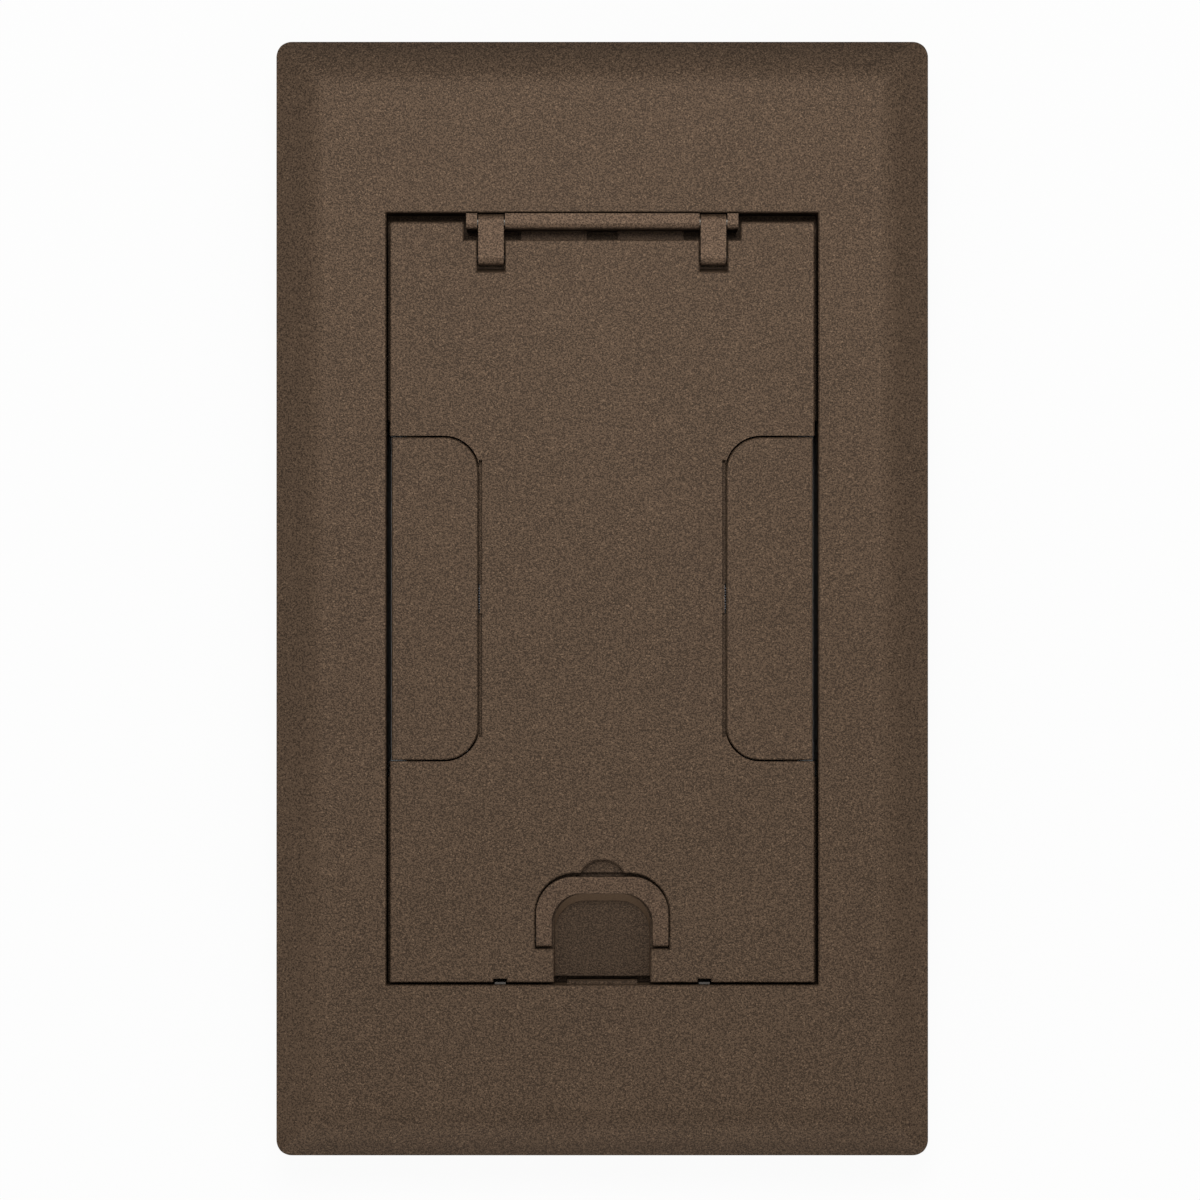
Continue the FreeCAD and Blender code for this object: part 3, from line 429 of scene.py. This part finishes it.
def drawn_steel(name, colour, along, roughness):
    """Steel with fine lines along one of the axes X, Y and Z."""
    steel = Finish(name)
    stretch = tuple(DRAWN_OUT if axis == along else 1.0 for axis in "XYZ")
    lines = steel.noise(LINE, detail=3.0, stretch=stretch)
    stained = steel.noise(STAIN) * 0.5 + lines * 0.4
    steel.paint(Base_Color=steel.mix(stained, colour, times(STAIN_SHADE, colour)),
                Roughness=lines * 0.25 + roughness,
                Metallic=1.0,
                Normal=steel.bump(lines, 0.006))
    return steel


# %% [markdown]
# The same recipe with other colours and roughness gives spring wire, the leaf catches and the
# zinc plate of the screws. The wire and the screws get theirs when they are made.

# %% Steel for pins, axles, springs and screws
pin_steel = drawn_steel("drawn_steel_across", shade(120, 114, 106), "X", 0.34)
dark_steel = drawn_steel("blackened_steel", shade(46, 41, 37), "X", 0.42)
axle_steel = drawn_steel("drawn_steel_along", shade(170, 166, 160), "Y", 0.24)
spring_wire = drawn_steel("spring_wire", shade(132, 132, 136), "Y", 0.26)
spring_sheet = drawn_steel("spring_sheet", shade(92, 88, 84), "Z", 0.36)
screw_zinc = drawn_steel("zinc_plate", shade(184, 180, 166), "Z", 0.3)
for side in SIDES:
    pin_steel.cover(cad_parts[f"bracket_pin_{side}"])
    dark_steel.cover(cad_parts[f"lid_pin_{side}"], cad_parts[f"bail_pin_{side}"])
    axle_steel.cover(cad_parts[f"door_pin_{side}"])
    spring_sheet.cover(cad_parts[f"catch_spring_{side}"])

# %% [markdown]
# ## Rubber and foam
#
# The pads that the lid rests on are moulded rubber: nearly black, matt, with a slight bloom of
# grey. The gasket under the flange is closed-cell foam, a dark sheet full of cut bubbles. There
# are far too many of them to model, so the cells of a Voronoi texture give the bubbles, and their
# walls stand out a little in the bump. The bubbles' middles are darker: painted shade in the cut
# hollows.

# %% Rubber and foam finishes
rubber = Finish("moulded_rubber")
bloom = rubber.noise(1.1, detail=4.0)
rubber.paint(Base_Color=rubber.mix(bloom, shade(24, 23, 22), shade(52, 50, 48)),
             Roughness=bloom * 0.2 + 0.62, Specular_IOR_Level=0.35,
             Normal=rubber.bump(rubber.noise(0.18), 0.02))

foam = Finish("closed_cell_foam")
bubbles = foam.cells(0.7, "Distance")
# Painted shade: darker towards each bubble's middle, in its cut hollow.
foam.paint(Base_Color=foam.mix(bubbles, shade(34, 34, 36), shade(72, 72, 74)),
           Roughness=0.92, Specular_IOR_Level=0.2, Sheen_Weight=0.15,
           Normal=foam.bump(bubbles, 0.18))

print("nodes in rubber and foam:", len(rubber.tree.nodes), "and", len(foam.tree.nodes))

# %% [markdown]
# ## The lift handle and the hinge links
#
# The handle and the two links are small flat castings with soft edges, and light runs along them
# as a thin bright line. Their CAD solids have the right outline but sharp edges. Modelled anew,
# they could miss that outline. So we copy a solid, weld the copy's loose triangles, dissolve them
# back into flat faces and let a Bevel modifier round every sharp edge. The copy then stands for
# the CAD node, which stays for the motion.

# %% Soft edges on a copy of a solid
FLAT_BELOW = math.radians(1)
SHARP_ABOVE = math.radians(35)


def softened(node, body, finish, edge, segments=3):
    """A copy of a CAD node whose sharp edges are rounded by edge, in millimetres."""
    piece = duplicate(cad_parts[node], node + "_copy")
    only(piece)
    bpy.ops.object.mode_set(mode="EDIT")
    bpy.ops.mesh.select_all(action="SELECT")
    bpy.ops.mesh.remove_doubles(threshold=WELD)
    bpy.ops.mesh.customdata_custom_splitnormals_clear()
    bpy.ops.mesh.dissolve_limited(angle_limit=FLAT_BELOW)
    bpy.ops.object.mode_set(mode="OBJECT")
    modify(piece, "BEVEL", width=edge * MM, segments=segments, limit_method="ANGLE",
           angle_limit=SHARP_ABOVE, use_clamp_overlap=True, harden_normals=False)
    finish.cover(piece)
    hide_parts(node)
    settle(piece, node + "_soft", body)


softened("bail_handle", "bail", handle_bronze, 0.22)
for side in SIDES:
    softened(f"hinge_link_{side}", "links", painted_light_bronze, 0.18)

# %% [markdown]
# ## Foam gasket
#
# A foam strip under the flange keeps dust and spilt water out of the box. It is cut from sheet,
# so its outline stays crisp and only its long edges relax. The helper for soft edges does that
# too, with fewer steps in the curve.

# %% Foam gasket
softened("floor_gasket", "frame", foam, 0.3, segments=2)

# %% [markdown]
# ## Rest pads
#
# The closed lid rests on four equal rubber blocks, so that it neither rattles nor rubs its coat.
# One is modelled from a cube: a rim is inset in its top, its four upright edges are rounded as in
# a mould, and then it is copied to all four places.

# %% One rubber pad
PAD_RIM = 0.35 * MM
PAD_ROUND = 0.6 * MM
AT_SIDE = 0.49
pad_low, pad_high = box_corners("rest_pad_front_left")
pad_size = pad_high - pad_low


def upright(middle, edge):
    """Whether an edge of the pad is one of its four upright ones."""
    return abs(middle.x) > pad_size.x * AT_SIDE and abs(middle.y) > pad_size.y * AT_SIDE


bpy.ops.object.select_all(action="DESELECT")
bpy.ops.mesh.primitive_cube_add(size=1.0, location=(pad_low + pad_high) / 2)
pad = bpy.context.active_object
pad.scale = pad_size
bpy.ops.object.transform_apply(location=False, rotation=False, scale=True)
bpy.ops.object.mode_set(mode="EDIT")
pick(pad, "FACE", lambda middle, face: face.normal.z > 0.9)
bpy.ops.mesh.inset(thickness=PAD_RIM)
pick(pad, "EDGE", upright)
bpy.ops.mesh.bevel(offset=PAD_ROUND, segments=4, affect="EDGES")
bpy.ops.object.mode_set(mode="OBJECT")

print("one pad has", len(pad.data.polygons), "faces")

# %% Four rubber pads
for end in ("front", "rear"):
    for side in SIDES:
        node = f"rest_pad_{end}_{side}"
        low, high = box_corners(node)
        copy = duplicate(pad, node)
        copy.location = (low + high) / 2
        rubber.cover(copy)
        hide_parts(node)
        settle(copy, f"{node}_moulded", "frame")
bpy.data.objects.remove(pad)

# %% [markdown]
# ## Door springs
#
# Each cord door is closed by a torsion spring of 0.5 mm wire, wound close on the door's axle.
# A spiral curve with a round bevel could draw it, but its ends would be hard to bend. A Screw
# modifier sweeps one circle round the axle and along it, which is just how the spring is wound,
# and leaves plain rings to go on from. The left spring is the right one's mirror image, so only
# the right one is modelled.

# %% Wound coil for the right door
WIRE = 0.25 * MM
TURNS = 9
STEPS = 20
COIL_RADIUS = 1.0 * MM + WIRE
COIL_HALF = 2.6 * MM - WIRE
LEG = 5.0 * MM

bpy.ops.object.select_all(action="DESELECT")
bpy.ops.mesh.primitive_circle_add(vertices=12, radius=WIRE, fill_type="NOTHING")
spring = bpy.context.active_object
bpy.ops.object.mode_set(mode="EDIT")
bpy.ops.mesh.select_all(action="SELECT")
bpy.ops.transform.rotate(value=math.radians(90), orient_axis="Y", center_override=(0, 0, 0))
bpy.ops.transform.translate(value=(0, -COIL_HALF, -COIL_RADIUS))
bpy.ops.object.mode_set(mode="OBJECT")
modify(spring, "SCREW", axis="Y", angle=math.radians(360), screw_offset=2 * COIL_HALF / TURNS,
       iterations=TURNS, steps=STEPS, render_steps=STEPS, use_merge_vertices=True)

print("a coil of", TURNS, "turns,", round(2 * (COIL_HALF + WIRE) / MM, 1), "mm long")

# %% [markdown]
# The two ends are now drawn out in edit mode: one straight under the door, the other bent down
# along the lid's rib. The bend turns the last ring of wire halfway, draws it out and turns it
# the rest of the way, so that the wire keeps its width round the corner.


# %% Draw out the two ends
SLICE = 0.03 * MM


def end_ring(vertex, end):
    """Whether a vertex is on the ring of wire at one end of the coil, -1 or 1."""
    x, y, z = vertex.co
    near_end = (y - end * COIL_HALF) * end > -1.05 * WIRE
    return near_end and abs(x) < SLICE and z < -COIL_RADIUS + 1.1 * WIRE


def draw_out(x, z):
    """Extrudes the selected ring of wire."""
    bpy.ops.mesh.extrude_region_move(TRANSFORM_OT_translate={"value": (x, 0, z)})


def bend_half(centre_z):
    """Turns the bent end's ring of wire by half of the right angle."""
    bpy.ops.transform.rotate(value=math.radians(45), orient_axis="Y",
                             center_override=(-COIL_RADIUS, COIL_HALF, centre_z))


only(spring)
bpy.ops.object.mode_set(mode="EDIT")
pick(spring, "VERT", lambda middle, vertex: end_ring(vertex, -1))
draw_out(LEG, 0)
bpy.ops.mesh.edge_face_add()
pick(spring, "VERT", lambda middle, vertex: end_ring(vertex, 1))
draw_out(-COIL_RADIUS, 0)
bend_half(-COIL_RADIUS)
draw_out(0, COIL_RADIUS - LEG)
bend_half(-LEG)
bpy.ops.mesh.edge_face_add()
bpy.ops.object.mode_set(mode="OBJECT")

print("the coil with its two ends has", len(spring.data.polygons), "faces")

# %% [markdown]
# The leg under the door swings with the door, and the coil stays with the lid. So the leg is
# separated from the coil, and each of the two rides on its own body. Both cuts are closed.

# %% Separate the leg
CUT = COIL_RADIUS + 1.2 * WIRE

only(spring)
bpy.ops.object.mode_set(mode="EDIT")
pick(spring, "FACE", lambda middle, face: middle.x > CUT)
bpy.ops.mesh.separate(type="SELECTED")
bpy.ops.object.mode_set(mode="OBJECT")
leg = next(piece for piece in bpy.context.selected_objects if piece != spring)

print("the leg has", len(leg.data.polygons), "faces of them")


# %% Close the cuts, place the spring and mirror it
def close_cut():
    """Fills each open ring of wire with a face."""
    bpy.ops.mesh.select_mode(type="EDGE")
    bpy.ops.mesh.select_all(action="DESELECT")
    bpy.ops.mesh.select_non_manifold(extend=False)
    bpy.ops.mesh.edge_face_add()


axle_low, axle_high = box_corners("door_pin_right")
for part, kind in ((spring, "coil"), (leg, "leg")):
    only(part)
    bpy.ops.object.mode_set(mode="EDIT")
    close_cut()
    bpy.ops.mesh.select_all(action="SELECT")
    bpy.ops.transform.translate(value=(axle_low + axle_high) / 2)
    bpy.ops.object.mode_set(mode="OBJECT")
    mirrored = duplicate(part, "mirrored")
    mirrored.scale = (-1, 1, 1)
    for piece, side in ((part, "right"), (mirrored, "left")):
        spring_wire.cover(piece)
        if kind == "coil":
            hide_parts(f"door_spring_{side}")
        settle(piece, f"spring_{kind}_{side}", "lid" if kind == "coil" else f"{side}_door")

# %% [markdown]
# ## Screws
#
# Two small screws hold the catches and two larger ones hold the hinge bracket from below. They
# are turned on a lathe. A profile could be spun round in the same way, but a cylinder is round
# already: it is the shank, its end is drawn out wide for the head, the head's rim is bevelled and
# the tip gets a small inset face.

# %% Turn a screw
NEAR = 0.01 * MM
HEAD_BEVEL, TIP_RIM = 0.25, 0.2


def turned_screw(node, shank, head, head_height, facing):
    """A screw's shank and head with the given radii, head up if facing is 1, down if -1."""
    low, high = box_corners(node)
    middle = (low + high) / 2
    length = high.z - low.z - head_height
    crown = high.z if facing > 0 else low.z
    seat = crown - facing * head_height
    tip = seat - facing * length
    bpy.ops.object.select_all(action="DESELECT")
    bpy.ops.mesh.primitive_cylinder_add(vertices=32, radius=shank, depth=length,
                                        location=(middle.x, middle.y, (seat + tip) / 2))
    screw = bpy.context.active_object
    bpy.ops.object.transform_apply(location=True, rotation=False, scale=False)
    bpy.ops.object.mode_set(mode="EDIT")
    pick(screw, "FACE", lambda centre, face: abs(centre.z - seat) < NEAR)
    bpy.ops.mesh.extrude_region_move(TRANSFORM_OT_translate={"value": (0, 0, 0)})
    bpy.ops.transform.resize(value=(head / shank, head / shank, 1))
    bpy.ops.mesh.extrude_region_move(TRANSFORM_OT_translate={"value": (0, 0, crown - seat)})
    pick(screw, "EDGE", lambda centre, edge: abs(centre.z - crown) < NEAR)
    bpy.ops.mesh.bevel(offset=HEAD_BEVEL * head_height, segments=3, affect="EDGES")
    pick(screw, "FACE", lambda centre, face: abs(centre.z - tip) < NEAR)
    bpy.ops.mesh.inset(thickness=TIP_RIM * shank)
    bpy.ops.object.mode_set(mode="OBJECT")
    return screw, Vector((middle.x, middle.y, crown))


# %% [markdown]
# The slot is sawn last. A long thin box stands for the saw's blade, a Boolean modifier cuts it
# out of the head, and then the box is thrown away. No two neighbours are turned the same way.


# %% Saw the slots
SAW_LENGTH, SAW_WIDTH = 3, 0.32


def slotted_screw(node, shank, head, head_height, facing, slot_angle):
    """A slotted screw in a CAD screw's place. Sizes in millimetres, the angle in degrees."""
    shank, head, head_height = shank * MM, head * MM, head_height * MM
    screw, crown = turned_screw(node, shank, head, head_height, facing)
    bpy.ops.mesh.primitive_cube_add(size=1.0, location=crown)
    saw = bpy.context.active_object
    saw.scale = (SAW_LENGTH * head, SAW_WIDTH * head, head_height)
    saw.rotation_euler.z = math.radians(slot_angle)
    bpy.ops.object.transform_apply(location=True, rotation=True, scale=True)
    modify(screw, "BOOLEAN", object=saw, operation="DIFFERENCE", solver="EXACT")
    bpy.data.objects.remove(saw)
    screw_zinc.cover(screw)
    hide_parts(node)
    settle(screw, f"{node}_slotted", "frame")


for side, slot_angle in (("left", -50), ("right", 25)):
    slotted_screw(f"catch_screw_{side}", 1.0, 1.8, 0.9, 1, slot_angle)
    slotted_screw(f"bracket_screw_{side}", 1.5, 2.8, 1.8, -1, slot_angle)

# %% [markdown]
# ## Camera
#
# The photograph looks straight down from about a metre, so the camera does too. Its height is
# worked out from the width that the photograph shows, and it stands a fraction of a millimetre
# off the middle, as the cover does in the photograph.

# %% Camera
SCENE = bpy.context.scene
PHOTO_WIDTH = 245.9 * MM
CAMERA_X, CAMERA_Y = -0.46 * MM, -0.29 * MM
camera_data = bpy.data.cameras.new("camera")
camera_data.sensor_width = 36.0
camera_data.lens = 135.0
distance = PHOTO_WIDTH * camera_data.lens / camera_data.sensor_width
camera = bpy.data.objects.new("camera", camera_data)
camera.location = (CAMERA_X, CAMERA_Y, TOP + distance)
bpy.context.collection.objects.link(camera)
SCENE.camera = camera

print("camera", round(distance, 3), "m above the cover")

# %% [markdown]
# ## Floor
#
# The floor is a plain pale sheet under the cover. In the photograph it is pure white, so to the
# camera it also glows, but not inside the well, where the glow would shine through the seams.

# %% Floor
WELL_X, WELL_Y = 47.0 * MM, 82.0 * MM
GLOW = 0.94
bpy.ops.object.select_all(action="DESELECT")
bpy.ops.mesh.primitive_plane_add(size=6.0, location=(0, 0, 0))
ground = bpy.context.active_object
ground.name = "ground"
paper = Finish("pale_paper")
paper.paint(Base_Color=shade(238, 238, 236), Roughness=0.9, Specular_IOR_Level=0.1)
across = paper.node("ShaderNodeSeparateXYZ", {}, {"Vector": paper.place}, output="X")
outside = (abs(across) > WELL_X) | (abs(across.beside("Y")) > WELL_Y)
seen = paper.node("ShaderNodeLightPath", output="Is Camera Ray")
white = paper.node("ShaderNodeEmission", {}, {"Color": (1.0, 1.0, 1.0), "Strength": 1.0})
matt = Tone(paper, paper.shader.outputs[0])
blend = paper.node("ShaderNodeMixShader", {}, {0: seen * outside * GLOW, 1: matt, 2: white})
paper.feed(paper.tree.nodes["Material Output"].inputs["Surface"], blend)
paper.cover(ground)

# %% [markdown]
# ## Sky and lamps
#
# The sky is white to the camera and in reflections, and weaker where it only lights the coat.
# One large soft lamp hangs above the hinge end, which makes the coat brighter towards the hinge,
# as in the photograph. A small low one in front reaches the slopes that face it, such as the
# flange's front slope and the scoop's back wall.

# %% Sky
SKY_LEVEL = 0.42
world = bpy.data.worlds.new("studio")
SCENE.world = world
world.use_nodes = True
sky = Recipe(world.node_tree)
background = sky.tree.nodes["Background"]
seen = sky.node("ShaderNodeLightPath", output="Is Camera Ray")
mirrored_or_seen = seen | seen.beside("Is Glossy Ray") | seen.beside("Is Transmission Ray")
sky.feed(background.inputs["Color"], (1.0, 1.0, 1.0))
sky.feed(background.inputs["Strength"], mirrored_or_seen * (1.0 - SKY_LEVEL) + SKY_LEVEL)

print("the sky lights the coat at", SKY_LEVEL, "of its full strength")


# %% Lamps
def soft_lamp(name, place, target, size, power):
    """A round area lamp that points at a target. Lengths in metres, power in watts."""
    lamp = bpy.data.lights.new(name, "AREA")
    lamp.shape = "DISK"
    lamp.size = size
    lamp.energy = power
    holder = bpy.data.objects.new(name, lamp)
    holder.location = place
    aim = Vector(target) - Vector(place)
    holder.rotation_euler = aim.to_track_quat("-Z", "Y").to_euler()
    bpy.context.collection.objects.link(holder)
    print(name, "lamp", round(aim.length, 2), "m from its target")


soft_lamp("key", (0.0, 0.27, 0.80), (0.0, 0.06, 0.0), size=0.30, power=3.05)
soft_lamp("front", (0.0, -0.66, 0.27), (0.0, -0.05, 0.02), size=0.20, power=0.6)

# %% [markdown]
# ## The end
#
# Last, the view transform is set to Standard.

# %% Finish
SCENE.view_settings.view_transform = "Standard"
